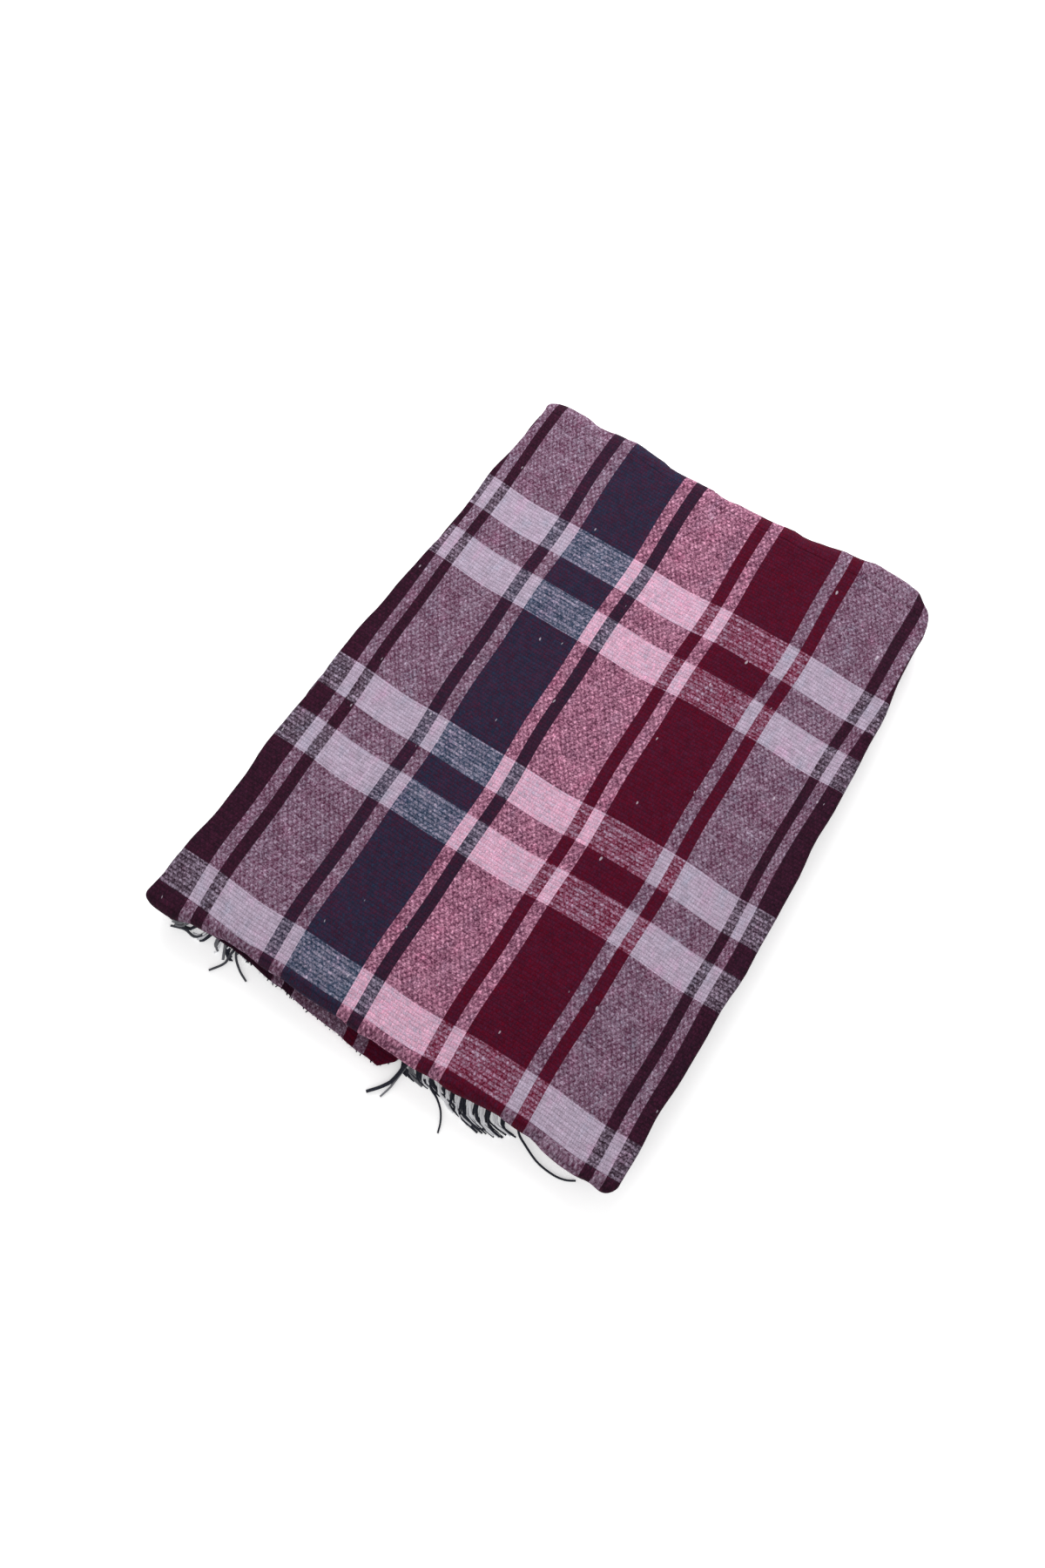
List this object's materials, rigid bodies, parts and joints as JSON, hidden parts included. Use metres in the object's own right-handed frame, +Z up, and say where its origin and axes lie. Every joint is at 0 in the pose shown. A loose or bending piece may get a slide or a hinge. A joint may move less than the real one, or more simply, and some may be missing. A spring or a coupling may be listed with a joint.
{
  "type": "folded throw blanket",
  "caption": "Plaid woven throw blanket with fringed ends, folded flat into a rectangular package whose upper half opens about the far fold.",
  "frame": {"origin": "middle of the package's footprint, on the surface it lies on", "axes": "+X across the package along the weft, +Y from the near folded edge to the far folds along the warp, +Z up"},
  "size_m": [0.319, 0.4198, 0.0285],
  "materials": {
    "plaid_cloth": "coarse plain weave, soft napped",
    "fringe_yarn": "loose yarn ends"
  },
  "bodies": {
    "lower_half": {"leaf_1_panel_1": "plaid_cloth", "leaf_1_outer_right_fold": "plaid_cloth", "leaf_1_panel_2": "plaid_cloth", "leaf_1_left_fold": "plaid_cloth", "leaf_1_panel_3": "plaid_cloth", "leaf_1_inner_right_fold": "plaid_cloth", "leaf_1_panel_4": "plaid_cloth", "leaf_2_panel_1": "plaid_cloth", "leaf_2_outer_right_fold": "plaid_cloth", "leaf_2_panel_2": "plaid_cloth", "leaf_2_left_fold": "plaid_cloth", "leaf_2_panel_3": "plaid_cloth", "leaf_2_inner_right_fold": "plaid_cloth", "leaf_2_panel_4": "plaid_cloth", "far_fold_outer": "plaid_cloth", "far_fold_inner": "plaid_cloth", "leaf_1_panel_1_fringe": "fringe_yarn", "leaf_1_panel_2_fringe": "fringe_yarn", "leaf_1_panel_3_fringe": "fringe_yarn", "leaf_1_panel_4_fringe": "fringe_yarn", "leaf_2_panel_1_fringe": "fringe_yarn", "leaf_2_panel_2_fringe": "fringe_yarn", "leaf_2_panel_3_fringe": "fringe_yarn", "leaf_2_panel_4_fringe": "fringe_yarn"},
    "upper_half": {"leaf_3_panel_1": "plaid_cloth", "leaf_3_outer_right_fold": "plaid_cloth", "leaf_3_panel_2": "plaid_cloth", "leaf_3_left_fold": "plaid_cloth", "leaf_3_panel_3": "plaid_cloth", "leaf_3_inner_right_fold": "plaid_cloth", "leaf_3_panel_4": "plaid_cloth", "leaf_4_panel_1": "plaid_cloth", "leaf_4_outer_right_fold": "plaid_cloth", "leaf_4_panel_2": "plaid_cloth", "leaf_4_left_fold": "plaid_cloth", "leaf_4_panel_3": "plaid_cloth", "leaf_4_inner_right_fold": "plaid_cloth", "leaf_4_panel_4": "plaid_cloth", "near_fold": "plaid_cloth"}
  },
  "joints": [
    {"name": "last_fold", "type": "hinge", "parent": "lower_half", "child": "upper_half", "pos_m": [0, 0.1972, 0.01425], "axis": [-1, 0, 0], "range_deg": [0, 179.8], "deforming": ["far_fold_outer", "far_fold_inner"]}
  ]
}
